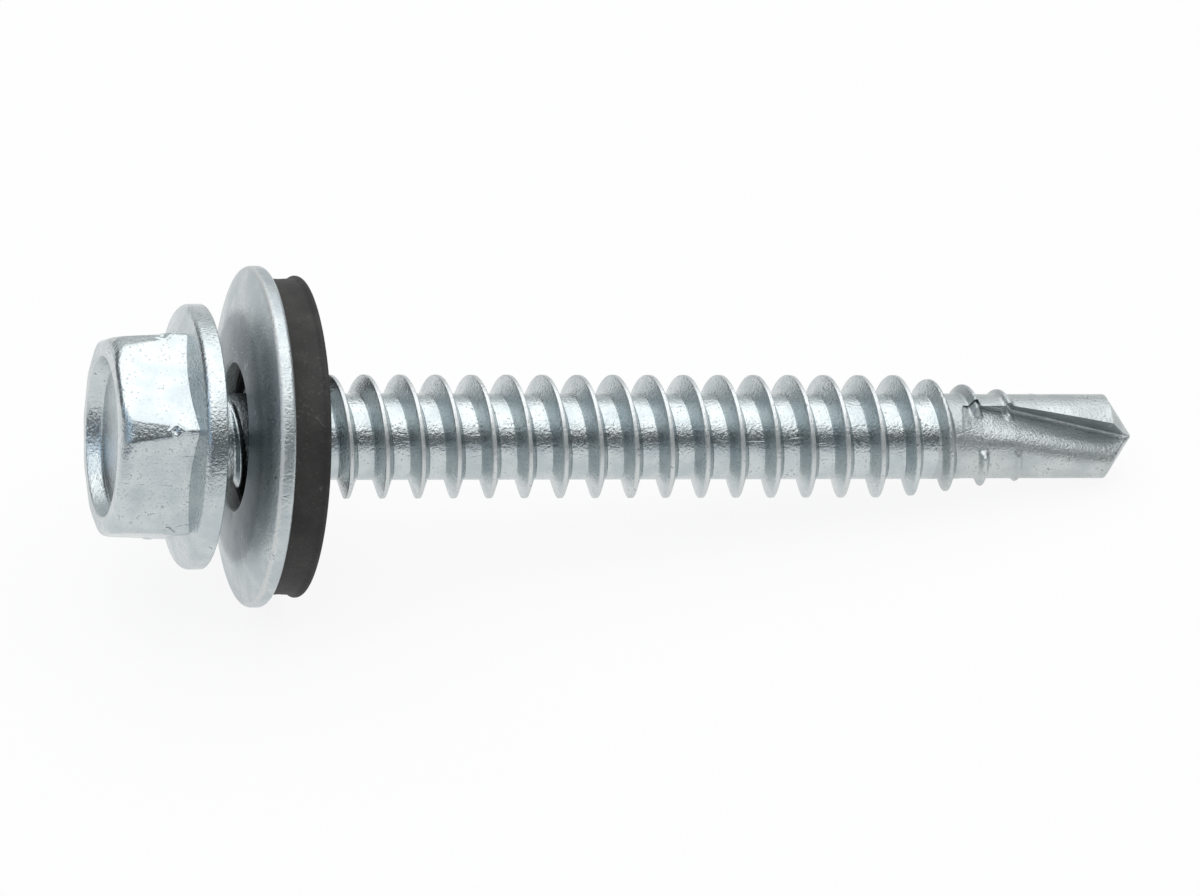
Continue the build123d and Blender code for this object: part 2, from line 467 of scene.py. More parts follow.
def effect_group(
    name: str, sizes: dict[str, float], make: Callable[[NodeBench, dict], dict[str, Signal]]
) -> bpy.types.ShaderNodeTree:
    """Build a shader node group with a vector input and named numbers in and out.

    Args:
        name: Name of the group.
        sizes: Number inputs and their defaults.
        make: Adds the nodes, and returns the outputs by name.

    Returns:
        The group.
    """
    group = bpy.data.node_groups.new(name, "ShaderNodeTree")
    group.interface.new_socket("Vector", in_out="INPUT", socket_type="NodeSocketVector")
    add_numbers(group, sizes)
    bench = NodeBench(group)
    made = make(bench, bench.outputs("NodeGroupInput"))
    for key in made:
        group.interface.new_socket(key, in_out="OUTPUT", socket_type="NodeSocketFloat")
    bench.add("NodeGroupOutput", made)
    return group


@dataclass
class SurfaceEffects:
    """The shader node groups that the finishes share."""

    grain: bpy.types.ShaderNodeTree
    wear: bpy.types.ShaderNodeTree
    scratches: bpy.types.ShaderNodeTree

    @classmethod
    def build(cls) -> "SurfaceEffects":
        """Build each shared group once."""
        grain_sizes = {"Grain size": 0.12, "Patch size": 1.5, "Speck share": 0.3}
        wear_sizes = {"Edge": 0.0, "Break size": 0.25, "Amount": 0.5}
        return cls(
            effect_group("Fine grain", grain_sizes, cls.grain_marks),
            effect_group("Rubbed edges", wear_sizes, cls.wear_marks),
            effect_group("Scratches", {"Spacing": 1.0, "Width": 0.02}, cls.scratch_marks),
        )

    @staticmethod
    def grain_marks(bench: NodeBench, given: dict[str, Signal]) -> dict[str, Signal]:
        """Speckle of a plated or moulded skin: its height, pale specks, pits and patches."""
        fine = bench.noise(given["Vector"], PER_MILLIMETRE / given["Grain size"], 3.0, 0.6)
        patches = bench.noise(given["Vector"], PER_MILLIMETRE / given["Patch size"], 3.0, 0.55)
        limit = given["Speck share"] * -0.3 + 0.75
        lifted = fine + (patches - 0.5) * 0.4
        return {
            "Height": fine,
            "Specks": bench.ramp(lifted, limit, limit + 0.12),
            "Pits": bench.ramp(1.0 - lifted, limit - 0.04, limit + 0.06),
            "Patches": bench.ramp(patches, 0.35, 0.65),
        }

    @staticmethod
    def wear_marks(bench: NodeBench, given: dict[str, Signal]) -> dict[str, Signal]:
        """Rubbed edges: a mesh mark broken up by noise."""
        breaks = bench.noise(given["Vector"], PER_MILLIMETRE / given["Break size"], 3.0, 0.65)
        limit = 1.0 - given["Amount"]
        return {"Mask": bench.ramp(given["Edge"] + (breaks - 0.5), limit, limit + 0.25)}

    @staticmethod
    def scratch_marks(bench: NodeBench, given: dict[str, Signal]) -> dict[str, Signal]:
        """Thin scratches: narrow bands of stretched noise."""
        scale = PER_MILLIMETRE / given["Spacing"]
        away = bench.math("ABSOLUTE", bench.noise(given["Vector"], scale, 1.0, 0.4) - 0.5)
        line = 1.0 - bench.ramp(away, 0.0, given["Width"])
        where = bench.noise(given["Vector"], scale * 2.3, 1.0, 0.5)
        return {"Mask": line * bench.ramp(where, 0.5, 0.6)}


# ---------------------------------------------------------------- finishes


def start_material(name: str) -> tuple[bpy.types.Material, NodeBench, bpy.types.Node]:
    """Start a material.

    Args:
        name: Name of the material.

    Returns:
        The material, a bench on its node tree and its shader node.
    """
    material = bpy.data.materials.new(name)
    material.use_nodes = True
    return material, NodeBench(material.node_tree), material.node_tree.nodes["Principled BSDF"]


@dataclass(frozen=True)
class PlatedSteel:
    """Bright zinc plated steel with a fine speckled skin, pale rubbed edges, and painted shade
    where a piece is marked for it.
    """

    name: str
    base: Colour
    shade: Colour
    frost: Colour
    pit: Colour
    roughness: float
    grain_size: float
    grain_depth: float
    wear_amount: float
    scratch_turn: tuple[float, float, float] = (0.0, radians(24.0), radians(31.0))
    scratch_stretch: tuple[float, float, float] = (0.18, 1.0, 1.0)

    def build(self, effects: SurfaceEffects) -> bpy.types.Material:
        """Make the material.

        Args:
            effects: The shared shader node groups.

        Returns:
            The material.
        """
        material, bench, shader = start_material(self.name)
        vector = bench.take("ShaderNodeTexCoord", output="Object")
        edge, stain = (
            bench.take("ShaderNodeAttribute", output="Fac", attribute_name=mark)
            for mark in ("edge", "stain")
        )
        inputs = {"Vector": vector, "Grain size": self.grain_size}
        grain = bench.outputs("ShaderNodeGroup", inputs, node_tree=effects.grain)
        inputs = {"Vector": vector, "Edge": edge, "Amount": self.wear_amount}
        wear = bench.take("ShaderNodeGroup", inputs, node_tree=effects.wear)
        inputs = {"Vector": vector, "Rotation": self.scratch_turn, "Scale": self.scratch_stretch}
        stretched = bench.take("ShaderNodeMapping", inputs)
        inputs = {"Vector": stretched}
        scratch = bench.take("ShaderNodeGroup", inputs, node_tree=effects.scratches)
        # Random pits from the grain, plus painted shade where a piece is marked for it: on the
        # washer this paints the zone near the hole darker, standing in for the flange's shade and
        # reflection.
        pits_and_painted_shade = bench.ramp(grain["Height"] * 0.9 + stain, 0.75, 1.15) * 0.7
        rubbed = bench.math("MAXIMUM", wear, grain["Specks"] * 0.5)
        colour = bench.blend(grain["Patches"], self.base, self.shade)
        colour = bench.blend(pits_and_painted_shade, colour, self.pit)
        colour = bench.blend(rubbed, colour, self.frost)
        colour = bench.blend(grain["Pits"] * 0.75, colour, self.pit)
        rough = rubbed * 0.18 + self.roughness
        rough = rough + grain["Patches"] * 0.06 - scratch * 0.1
        height = grain["Height"] - scratch * 0.2
        inputs = {"Strength": 1.0, "Distance": self.grain_depth * MILLIMETRE, "Height": height}
        skin = {"Base Color": colour, "Roughness": rough, "Metallic": 1.0}
        bench.feed(shader, {**skin, "Normal": bench.take("ShaderNodeBump", inputs)})
        return material


@dataclass(frozen=True)
class SealRubber:
    """Black moulded rubber with a dusty, slightly granular skin."""

    name: str
    base: Colour
    dust: Colour
    roughness: float
    grain_size: float = 0.16
    patch_size: float = 2.4
    speck_share: float = 0.45
    grain_depth: float = 0.05

    def build(self, effects: SurfaceEffects) -> bpy.types.Material:
        """Make the material, as for the steel."""
        material, bench, shader = start_material(self.name)
        inputs = {
            "Vector": bench.take("ShaderNodeTexCoord", output="Object"),
            "Grain size": self.grain_size,
            "Patch size": self.patch_size,
            "Speck share": self.speck_share,
        }
        grain = bench.outputs("ShaderNodeGroup", inputs, node_tree=effects.grain)
        dusty = grain["Specks"] * 0.75 + grain["Patches"] * 0.25
        rough = grain["Specks"] * 0.15 + self.roughness
        inputs = {"Distance": self.grain_depth * MILLIMETRE, "Height": grain["Height"]}
        skin = {"Base Color": bench.blend(dusty, self.base, self.dust), "Roughness": rough}
        bench.feed(shader, {**skin, "Normal": bench.take("ShaderNodeBump", inputs)})
        return material


@dataclass(frozen=True)
class PaleFloor:
    """Plain white sheet that shows as the background and still keeps a soft shadow."""

    name: str = "pale_floor"
    paper: Colour = (0.82, 0.82, 0.82, 1.0)
    glow_share: float = 0.90

    def build(self) -> bpy.types.Material:
        """Make the material."""
        material, bench, shader = start_material(self.name)
        nodes = material.node_tree.nodes
        nodes.remove(shader)
        rays = bench.outputs("ShaderNodeLightPath")
        seen = bench.math("MAXIMUM", rays["Is Camera Ray"], rays["Is Glossy Ray"])
        seen = bench.math("MAXIMUM", seen, rays["Is Transmission Ray"])
        paper = bench.take("ShaderNodeBsdfDiffuse", {"Color": self.paper})
        glow = bench.take("ShaderNodeEmission")
        inputs = {0: seen * self.glow_share, 1: paper, 2: glow}
        mixed = bench.take("ShaderNodeMixShader", inputs)
        bench.feed(nodes["Material Output"], {"Surface": mixed})
        return material


SCREW_STEEL = PlatedSteel(
    name="screw_zinc",
    base=(0.585, 0.63, 0.64, 1.0),
    shade=(0.49, 0.545, 0.565, 1.0),
    frost=(0.64, 0.67, 0.675, 1.0),
    pit=(0.20, 0.225, 0.235, 1.0),
    roughness=0.20,
    grain_size=0.15,
    grain_depth=0.034,
    wear_amount=0.40,
)
POINT_STEEL = PlatedSteel(
    name="point_zinc",
    base=(0.57, 0.605, 0.605, 1.0),
    shade=(0.48, 0.52, 0.525, 1.0),
    frost=(0.62, 0.64, 0.64, 1.0),
    pit=(0.20, 0.215, 0.22, 1.0),
    roughness=0.36,
    grain_size=0.14,
    grain_depth=0.040,
    wear_amount=0.45,
)
WASHER_STEEL = PlatedSteel(
    name="washer_zinc",
    base=(0.575, 0.62, 0.63, 1.0),
    shade=(0.48, 0.535, 0.56, 1.0),
    frost=(0.68, 0.70, 0.70, 1.0),
    pit=(0.17, 0.205, 0.235, 1.0),
    roughness=0.32,
    grain_size=0.14,
    grain_depth=0.040,
    wear_amount=0.50,
)
BLACK_RUBBER = SealRubber(
    name="black_rubber",
    base=(0.014, 0.013, 0.012, 1.0),
    dust=(0.090, 0.086, 0.082, 1.0),
    roughness=0.66,
)


def dress(piece: bpy.types.Object, material: bpy.types.Material) -> None:
    """Give a piece its material."""
    piece.data.materials.clear()
    piece.data.materials.append(material)


# ---------------------------------------------------------------- head


@dataclass
class ScrewHead:
    """Indented hexagon head with its flange, from the recess to the neck."""

    axes: ScrewAxes
    across_flats: float = 9.82
    draft: float = 1.8
    height: float = 4.95
    top_radius: float = 0.42
    top_radius_at_corners: float = 0.95
    corner_angle: float = 52.2
    fill_top: float = 5.14
    fill_low: float = 5.46
    fill_base: float = 5.60
    fill_softness: float = 0.05
    fill_step: float = 0.13
    pip_height: float = 2.32
    pip_radius: float = 5.5
    pip_length: float = 0.46
    pip_width: float = 0.40
    pip_lip: float = 0.05
    pip_dent: float = 0.04
    mouth_radius: float = 3.95
    land_radius: float = 4.15
    floor_radius: float = 3.55
    recess_depth: float = 0.75
    flange_radius: float = 6.50
    flange_thickness: float = 0.93
    cone_height: float = 0.62
    cone_radius: float = 4.70
    foot_radius: float = 5.70
    root_radius: float = 2.13
    foot_level: float = -1.2
    rim_wear: float = 0.8
    top_wear: float = 0.35
    rim_wobble: float = 0.012
    wobble_from: float = 5.9
    columns: int = 432
    crowding: float = 0.09
    land_rings: int = 5
    edge_rings: int = 13
    side_rings: int = 70
    cone_rings: int = 8

    def column_angles(self) -> np.ndarray:
        """Angles of the columns, which stand closer together near the corners."""
        share = np.linspace(0.0, 6.0, self.columns, endpoint=False)
        crowded = share - self.crowding * np.sin(2 * pi * share)
        return np.radians(crowded * 60.0 + self.corner_angle)

    def flat_distance(self, heights: np.ndarray) -> np.ndarray:
        """Distance of a flat from the axis at each height."""
        above = -self.flange_thickness - heights
        return self.across_flats / 2 - above * tan(radians(self.draft))

    def off_flat(self, angles: np.ndarray) -> np.ndarray:
        """Signed angle in degrees from the middle of the nearest flat."""
        return (np.degrees(angles) - self.corner_angle) % 60.0 - 30.0

    def side_radius(self, heights: np.ndarray, angles: np.ndarray) -> np.ndarray:
        """Radius of the hexagon's side, with its partly filled corners.

        Args:
            heights: Heights along the axis.
            angles: Angles about the axis in radians.

        Returns:
            The radii.
        """
        flat = self.flat_distance(heights) / np.cos(np.radians(self.off_flat(angles)))
        above = heights + self.height
        share = np.clip(above / (self.height - self.pip_height), 0.0, 1.0)
        unfilled = self.fill_top + (self.fill_low - self.fill_top) * share**0.8
        step = self.fill_step
        filled = smooth_step(heights, -self.pip_height - step, -self.pip_height + step)
        fill = unfilled + (self.fill_base - unfilled) * filled
        return smooth_minimum(flat, fill, self.fill_softness)

    def build(self) -> bpy.types.Object:
        """Make the head as one shell, ring by ring from the recess to the neck."""
        angles = self.column_angles()
        off = np.abs(self.off_flat(angles))
        wider = self.top_radius_at_corners - self.top_radius
        rounding = self.top_radius + wider * smooth_step(off, 12.0, 28.0)
        top = -self.height
        bottom = top + self.recess_depth
        dish = Outline.of_corners(
            [(0.05, bottom), (self.floor_radius, bottom), (self.mouth_radius, top), (4.4, top)],
            [0.0, 0.26, 0.10, 0.0],
            0.18,
            closed=False,
        )
        rings = []
        for radius, level in dish.points:
            if level <= top + 0.001 and radius > self.land_radius:
                break
            rings.append((radius, level, bell(radius - self.mouth_radius - 0.03, 0.08)))
        # Rounded top edge, wider where the corners were left unfilled
        shoulder = self.side_radius(top + rounding, angles)
        inner = shoulder - rounding
        for share in np.linspace(0.0, 1.0, self.land_rings):
            rings.append((self.land_radius + (inner - self.land_radius) * share, top, 0.0))
        for turn in np.linspace(0.0, pi / 2, self.edge_rings)[1:]:
            radius = inner + rounding * np.sin(turn)
            rings.append((radius, top + rounding * (1 - np.cos(turn)), self.top_wear))
        foot = self.cone_level(self.side_radius(np.full_like(angles, self.foot_level), angles))
        for share in np.linspace(0.0, 1.0, self.side_rings)[1:]:
            level = top + rounding + (foot - top - rounding) * share
            radius = self.side_radius(level, angles)
            rings.append((radius + self.corner_marks(level, angles), level, 0.0))
        # Cone, rim and bearing face of the flange
        last = rings[-1][0]
        rim = Outline.of_corners(
            [
                (self.foot_radius, self.cone_level(self.foot_radius)),
                (self.flange_radius, -self.flange_thickness),
                (self.flange_radius, 0.0),
                (self.root_radius + 0.30, 0.0),
                (self.root_radius, 0.30),
                (self.root_radius - 0.4, 0.30),
            ],
            [0.0, 0.42, 0.07, 0.05, 0.0, 0.0],
            0.12,
            closed=False,
        )
        for share in np.linspace(0.0, 1.0, self.cone_rings)[1:-1]:
            radius = last + (self.foot_radius - last) * share
            rings.append((radius, self.cone_level(radius), 0.0))
        for radius, level in rim.points:
            near = max(0.0, 1.0 - hypot(radius - 6.36, level + 0.82) / 0.24)
            rings.append((radius, level, self.rim_wear * near))
        radii, heights, marks = stacked(rings, self.columns)
        # The rim is slightly out of round
        wobble = np.minimum(self.rim_wobble * ripple(angles, 5), 0.0)
        radii = np.where(radii > self.wobble_from, radii + wobble, radii)
        shell = Shell("screw_head", radii, angles, heights, {"edge": marks})
        return shell.build(self.axes, sharp_angle=30.0)

    def cone_level(self, radius: object) -> object:
        """Height of the flange's cone at a radius."""
        slope = self.cone_height / (self.flange_radius - self.cone_radius)
        return -self.flange_thickness - (self.flange_radius - np.asarray(radius)) * slope

    def corner_marks(self, levels: np.ndarray, angles: np.ndarray) -> np.ndarray:
        """Small raised pip on each corner, where the die stopped filling it.

        Args:
            levels: Heights along the axis.
            angles: Angles about the axis in radians.

        Returns:
            How far each point stands out.
        """
        from_corner = np.radians(30.0 - np.abs(self.off_flat(angles))) * self.pip_radius
        along = np.abs(levels + self.pip_height) / self.pip_length
        reach = along + np.abs(from_corner) / self.pip_width
        return bell(reach - 0.8, 0.22) * self.pip_lip - self.pip_dent * bell(reach, 0.45)


# ---------------------------------------------------------------- thread


@dataclass
class ThreadForm:
    """Sizes of the rolled thread, which the shank and the drill point share."""

    root_radius: float = 2.13
    crest_radius: float = 3.06
    pitch: float = 1.80
    base_width: float = 0.93
    crest_width: float = 0.20
    faded_base_width: float = 0.30
    faded_crest_width: float = 0.10
    start: float = 1.16
    full_start: float = 2.96
    full_end: float = 35.36
    runout_end: float = 42.56
    crest_rounding: float = 0.10
    root_rounding: float = 0.14

    def rise(self, heights: np.ndarray, angles: np.ndarray) -> tuple[np.ndarray, np.ndarray]:
        """Height of the ridge above the core.

        Args:
            heights: Heights along the axis.
            angles: Angles about the axis in radians.

        Returns:
            The rise in millimetres, and the same as a share of the full height.
        """
        turns = (heights - self.start) / self.pitch - angles / (2 * pi)
        aside = (turns - np.floor(turns + 0.5)) * self.pitch
        centre = heights - aside
        grown = np.clip((centre - self.start) / (self.full_start - self.start), 0.0, 1.0)
        left = (self.runout_end - centre) / (self.runout_end - self.full_end)
        share = np.minimum(grown, np.clip(left, 0.0, 1.0))
        base = self.faded_base_width + (self.base_width - self.faded_base_width) * share
        crest = self.faded_crest_width + (self.crest_width - self.faded_crest_width) * share
        full = self.crest_radius - self.root_radius
        flank = (base / 2 - np.abs(aside)) / ((base - crest) / 2) * full * share
        softened = np.clip(4.0 * share, 0.01, 1.0)
        rounded = smooth_minimum(flank, full * share, self.crest_rounding * softened)
        rise = -smooth_minimum(-rounded, np.zeros_like(rounded), self.root_rounding * softened)
        return rise, rise / full


@dataclass
class Thread:
    """Shank from the bearing face to above the flutes, with its helical ridge."""

    axes: ScrewAxes
    form: ThreadForm
    shank_start: float = -0.20
    shank_end: float = 37.00
    turns: int = 24
    first_turn: int = -2
    segments: int = 96
    strips: int = 40
    crowding: float = 0.55
    crest_wobble: float = 0.022
    wobble_seed: float = 7.0
    weld_distance: float = 0.0008
    sharp_angle: float = 38.0

    def tree(self) -> bpy.types.GeometryNodeTree:
        """Build the geometry node tree that winds the ridge about the core."""
        group = bpy.data.node_groups.new("Wound thread", "GeometryNodeTree")
        group.interface.new_socket("Geometry", in_out="OUTPUT", socket_type="NodeSocketGeometry")
        sizes = asdict(self.form) | {
            "shank_start": self.shank_start,
            "shank_end": self.shank_end,
            "crest_wobble": self.crest_wobble,
            "wobble_seed": self.wobble_seed,
        }
        add_numbers(group, {name.replace("_", " ").capitalize(): sizes[name] for name in sizes})
        bench = NodeBench(group)
        given = bench.outputs("NodeGroupInput")
        pitch, start = given["Pitch"], given["Start"]
        sides = {"Size X": 1.0, "Size Y": 1.0}
        counts = {"Vertices X": self.turns * self.segments + 1, "Vertices Y": self.strips + 1}
        flow = bench.take("GeometryNodeMeshGrid", {**sides, **counts}, "Mesh")
        place = bench.outputs("ShaderNodeSeparateXYZ", {0: bench.take("GeometryNodeInputPosition")})
        # Turn about the axis, and the place across one pitch with more points near the crest
        turn = (place["X"] + 0.5) * self.turns + self.first_turn
        wave = bench.math("SINE", place["Y"] * (2 * pi))
        across = place["Y"] - wave * (self.crowding / (2 * pi))
        level = (turn + across) * pitch + start
        level = bench.math("MAXIMUM", level, given["Shank start"])
        level = bench.math("MINIMUM", level, given["Shank end"])
        # Signed distance from the middle of the nearest ridge
        pitches = (level - start) / pitch - turn
        aside = (pitches - bench.math("FLOOR", pitches + 0.5)) * pitch
        centre = level - aside
        # Share of the full height: it grows under the head and fades towards the point
        grown = bench.math("DIVIDE", centre - start, given["Full start"] - start, clamp=True)
        runout = given["Runout end"]
        left = bench.math("DIVIDE", runout - centre, runout - given["Full end"], clamp=True)
        share = bench.math("MINIMUM", grown, left)
        base, crest = (
            given["Faded " + width] + (given[width.capitalize()] - given["Faded " + width]) * share
            for width in ("base width", "crest width")
        )
        full = given["Crest radius"] - given["Root radius"]
        high = full * share
        flank = (base * 0.5 - bench.math("ABSOLUTE", aside)) / ((base - crest) * 0.5) * high
        softened = bench.math("MINIMUM", 1.0, share * 4.0 + 0.01)
        ridge = bench.math("SMOOTH_MIN", flank, high, given["Crest rounding"] * softened)
        ridge = bench.math("SMOOTH_MAX", ridge, 0.0, given["Root rounding"] * softened)
        over, beside = (bench.math(wave, turn * (2 * pi)) for wave in ("COSINE", "SINE"))
        # Uneven crest, as rolling leaves it
        spot = {0: over * 3.0, 1: beside * 3.0, 2: level + given["Wobble seed"]}
        uneven = bench.noise(bench.take("ShaderNodeCombineXYZ", spot), 1.1, 3.0, 0.6)
        crest_share = ridge / full
        dip = bench.math("POWER", crest_share, 3.0) * ((uneven - 1.0) * given["Crest wobble"])
        radius = given["Root radius"] + ridge + dip
        point = {0: over * radius, 1: beside * radius, 2: level}
        for kind, inputs in (
            ("StoreNamedAttribute", {"Name": "edge", "Value": bench.ramp(crest_share, 0.82, 1.0)}),
            ("SetPosition", {"Position": bench.take("ShaderNodeCombineXYZ", point)}),
            ("MergeByDistance", {"Distance": self.weld_distance}),
            ("RealizeInstances", {}),
        ):
            flow = bench.take("GeometryNode" + kind, {"Geometry": flow, **inputs})
        bench.add("NodeGroupOutput", {"Geometry": flow})
        return group

    def build(self) -> bpy.types.Object:
        """Wind the thread and turn the result into a plain mesh."""
        carrier = bpy.data.objects.new("thread_carrier", bpy.data.meshes.new("thread_seed"))
        bpy.context.scene.collection.objects.link(carrier)
        modifier = carrier.modifiers.new("winding", "NODES")
        modifier.node_group = self.tree()
        for item in modifier.node_group.interface.items_tree:
            if item.item_type == "SOCKET" and item.in_out == "INPUT":
                modifier[item.identifier] = item.default_value
        graph = bpy.context.evaluated_depsgraph_get()
        mesh = bpy.data.meshes.new_from_object(carrier.evaluated_get(graph), depsgraph=graph)
        mesh.name = "screw_thread"
        bpy.data.objects.remove(carrier)
        self.close_ends(mesh)
        return finished("screw_thread", mesh, self.axes.matrix(), self.sharp_angle)

    def close_ends(self, mesh: bpy.types.Mesh) -> None:
        """Close the two open ends of the shank with a face each."""
        form = bmesh.new()
        form.from_mesh(mesh)
        bmesh.ops.remove_doubles(form, verts=form.verts, dist=self.weld_distance)
        rims = [edge for edge in form.edges if edge.is_boundary]
        bmesh.ops.holes_fill(form, edges=rims, sides=0)
        form.to_mesh(mesh)
        form.free()


# ---------------------------------------------------------------- drill point


@dataclass
class DrillPoint:
    """Pinched drill point with two flutes, and the last turns of the thread above it."""

    axes: ScrewAxes
    form: ThreadForm
    start: float = 37.00
    point_radius: float = 2.10
    length: float = 47.50
    point_angle: float = 108.0
    tip_radius: float = 0.10
    flute_start: float = 38.20
    flute_full: float = 41.00
    flute_angle: float = 55.5
    root_out: float = 0.395
    root_aside: float = 0.107
    rise_out: float = 0.060
    rise_aside: float = -0.221
    wall_angle: float = -16.0
    floor_angle: float = 45.0
    root_fillet: float = 0.16
    heel_radius: float = 1.05
    gap_above: float = 1.35
    gap_below: float = 1.00
    gap_start: float = 37.90
    gap_softness: float = 0.24
    web_radius: float = 0.85
    torn: float = 0.05
    column_shift: float = 12.0
    shoulder_wear: float = 0.7
    ring_spacing: float = 0.042
    land_rings: int = 50
    cone_rings: int = 34
    land_points: int = 80
    wall_points: int = 26
    fillet_points: int = 16
    floor_points: int = 26
    heel_points: int = 22

    def half_outline(self, height: float, limit: float) -> np.ndarray:
        """Points of one flute and the land after it, in the flute's own plane.

        Args:
            height: Height along the axis whose flute form is taken.
            limit: Radius that cuts the outline.

        Returns:
            Points from the cutting edge over the flute and the heel to the next edge.
        """
        back = self.length - height
        out = self.root_out + self.rise_out * back
        root = np.array((out, self.root_aside + self.rise_aside * back))
        wall, floor = self.heading(self.wall_angle), self.heading(self.floor_angle)
        normal = self.heading(self.floor_angle - 90.0)
        half = radians(self.floor_angle - self.wall_angle) / 2
        middle = self.heading((self.floor_angle + self.wall_angle) / 2)
        reach = self.root_fillet / tan(half)
        fillet_centre = root + middle * self.root_fillet / sin(half)
        edge = self.leaves(root, wall, limit)
        wall_end, floor_start = root + wall * reach, root + floor * reach
        offset = root @ normal - self.heel_radius
        distance = self.point_radius - self.heel_radius
        heel_centre = normal * offset + floor * sqrt(distance**2 - offset**2)
        heel_start = heel_centre + normal * self.heel_radius
        heel_end = heel_centre / np.linalg.norm(heel_centre) * self.point_radius
        if np.linalg.norm(heel_start) > limit:
            heel_start = self.leaves(root, floor, limit)
            heel_end = heel_start
        if np.allclose(heel_start, heel_end):
            heel = self.line(heel_start, heel_start, self.heel_points)
        else:
            heel = self.arc(heel_centre, heel_start, heel_end, self.heel_points)
        first = atan2(heel_end[1], heel_end[0])
        last = atan2(-edge[1], -edge[0])
        if last < first:
            last += 2 * pi
        sweep = np.linspace(first, last, self.land_points, endpoint=False)
        parts = (
            self.line(edge, wall_end, self.wall_points),
            self.arc(fillet_centre, wall_end, floor_start, self.fillet_points),
            self.line(floor_start, heel_start, self.floor_points),
            heel,
            limit * np.stack([np.cos(sweep), np.sin(sweep)], axis=1),
        )
        outline = np.concatenate(parts)
        radii = np.linalg.norm(outline, axis=1)
        return outline * np.minimum(1.0, limit / np.maximum(radii, 1e-9))[:, None]

    @staticmethod
    def heading(angle: float) -> np.ndarray:
        """Unit vector in the plane of a cross-section."""
        return np.array((cos(radians(angle)), sin(radians(angle))))

    @staticmethod
    def leaves(start: np.ndarray, heading: np.ndarray, radius: float) -> np.ndarray:
        """Where a line from a point leaves a circle about the axis, or the point itself."""
        inside = (start @ heading) ** 2 + radius**2 - start @ start
        if inside <= 0:
            return start
        return start + heading * max(0.0, sqrt(inside) - start @ heading)

    @staticmethod
    def line(first: np.ndarray, last: np.ndarray, count: int) -> np.ndarray:
        """Points on a straight run, without its last one."""
        shares = np.linspace(0.0, 1.0, count, endpoint=False)[:, None]
        return first + (last - first) * shares

    @staticmethod
    def arc(centre: np.ndarray, first: np.ndarray, last: np.ndarray, count: int) -> np.ndarray:
        """Points on an arc about a centre, without its last one."""
        start, end = first - centre, last - centre
        sweep = np.arccos(np.clip(start @ end / np.linalg.norm(start) / np.linalg.norm(end), -1, 1))
        shares = np.linspace(0.0, 1.0, count, endpoint=False)[:, None]
        arm = start * np.sin((1 - shares) * sweep) + end * np.sin(shares * sweep)
        return centre + arm / np.sin(sweep)

    def cone_limit(self, height: float) -> float:
        """Radius of the point's cone at a height."""
        return self.tip_radius + (self.length - height) * tan(radians(self.point_angle / 2))

    def build(self) -> bpy.types.Object:
        """Make the drill point as one shell, ring by ring down to the tip."""
        cone = tan(radians(self.point_angle / 2))
        shoulder = self.length - (self.point_radius - self.tip_radius) / cone
        levels = np.concatenate(
            [
                np.arange(self.start, self.form.runout_end + 0.2, self.ring_spacing),
                np.linspace(self.form.runout_end + 0.22, shoulder, self.land_rings),
                np.linspace(shoulder, self.length, self.cone_rings)[1:],
            ]
        )
        rings = []
        turn = radians(self.flute_angle)
        kept = np.empty(0)
        for level in levels:
            limit = min(self.point_radius, self.cone_limit(level))
            if limit < self.web_radius:
                # Past the web the section keeps its form and only gets smaller
                loop = kept * limit / self.web_radius
            else:
                half = self.half_outline(max(level, self.flute_full), limit)
                loop = np.concatenate([half, -half])
                kept = loop * self.web_radius / limit
            radii = np.linalg.norm(loop, axis=1)
            angles = np.arctan2(loop[:, 1], loop[:, 0])
            if level < self.flute_full:
                sunk = (level - self.flute_start) / (self.flute_full - self.flute_start)
                # Where the flute fades, its columns spread evenly about the axis
                first_half = np.unwrap(angles)[: half.shape[0]]
                even = first_half[0] + np.linspace(0.0, pi, first_half.size, endpoint=False)
                spread = even + (first_half - even) * min(max(self.column_shift * sunk, 0.0), 1.0)
                angles = np.concatenate([spread, spread + pi])
                torn = self.torn * ripple(angles + 0.9 * level, 11)
                torn = torn * ripple(np.full_like(angles, 1.7 * level), 12)
                part = np.clip(sunk + torn * smooth_step(np.array(sunk), -0.02, 0.2), 0.0, 1.0)
                radii = self.point_radius - (self.point_radius - radii) * part
            # The core above the flutes is slightly thicker than the lands
            thicker = 1.0 - smooth_step(np.array(level), self.flute_start, self.flute_start + 0.6)
            radii = radii + (self.form.root_radius - self.point_radius) * thicker
            true_angles = angles + turn
            rise, share = self.form.rise(np.full_like(angles, level), true_angles)
            keep = self.left_on_lands(level, angles)
            radii = radii + rise * keep
            crest = smooth_step(share * keep, 0.6, 1.0)
            mark = np.maximum(crest, self.shoulder_wear * bell(level - shoulder, 0.10))
            rings.append((radii, true_angles, level, mark))
        radii, angles, heights, marks = stacked(rings, angles.size)
        shell = Shell("drill_point", radii, angles, heights, {"edge": marks})
        return shell.build(self.axes, sharp_angle=32.0)

    def left_on_lands(self, level: float, angles: np.ndarray) -> np.ndarray:
        """Share of the ridge that is left on the lands, beside the flutes.

        Args:
            level: Height along the axis.
            angles: Angles from the flute's middle line.

        Returns:
            1 where the ridge is whole and 0 where the flutes interrupt it.
        """
        radius = self.form.root_radius + 0.4
        out, off = radius * np.cos(angles), radius * np.sin(angles)
        flipped = np.where(out >= 0, off, -off)
        soft = self.gap_softness
        inside = smooth_step(flipped, -self.gap_above - soft, -self.gap_above + soft)
        inside = inside * (1.0 - smooth_step(flipped, self.gap_below - soft, self.gap_below + soft))
        begun = smooth_step(np.array(level), self.gap_start - 0.15, self.gap_start + 0.15)
        return 1.0 - inside * begun


# ---------------------------------------------------------------- bonded washer


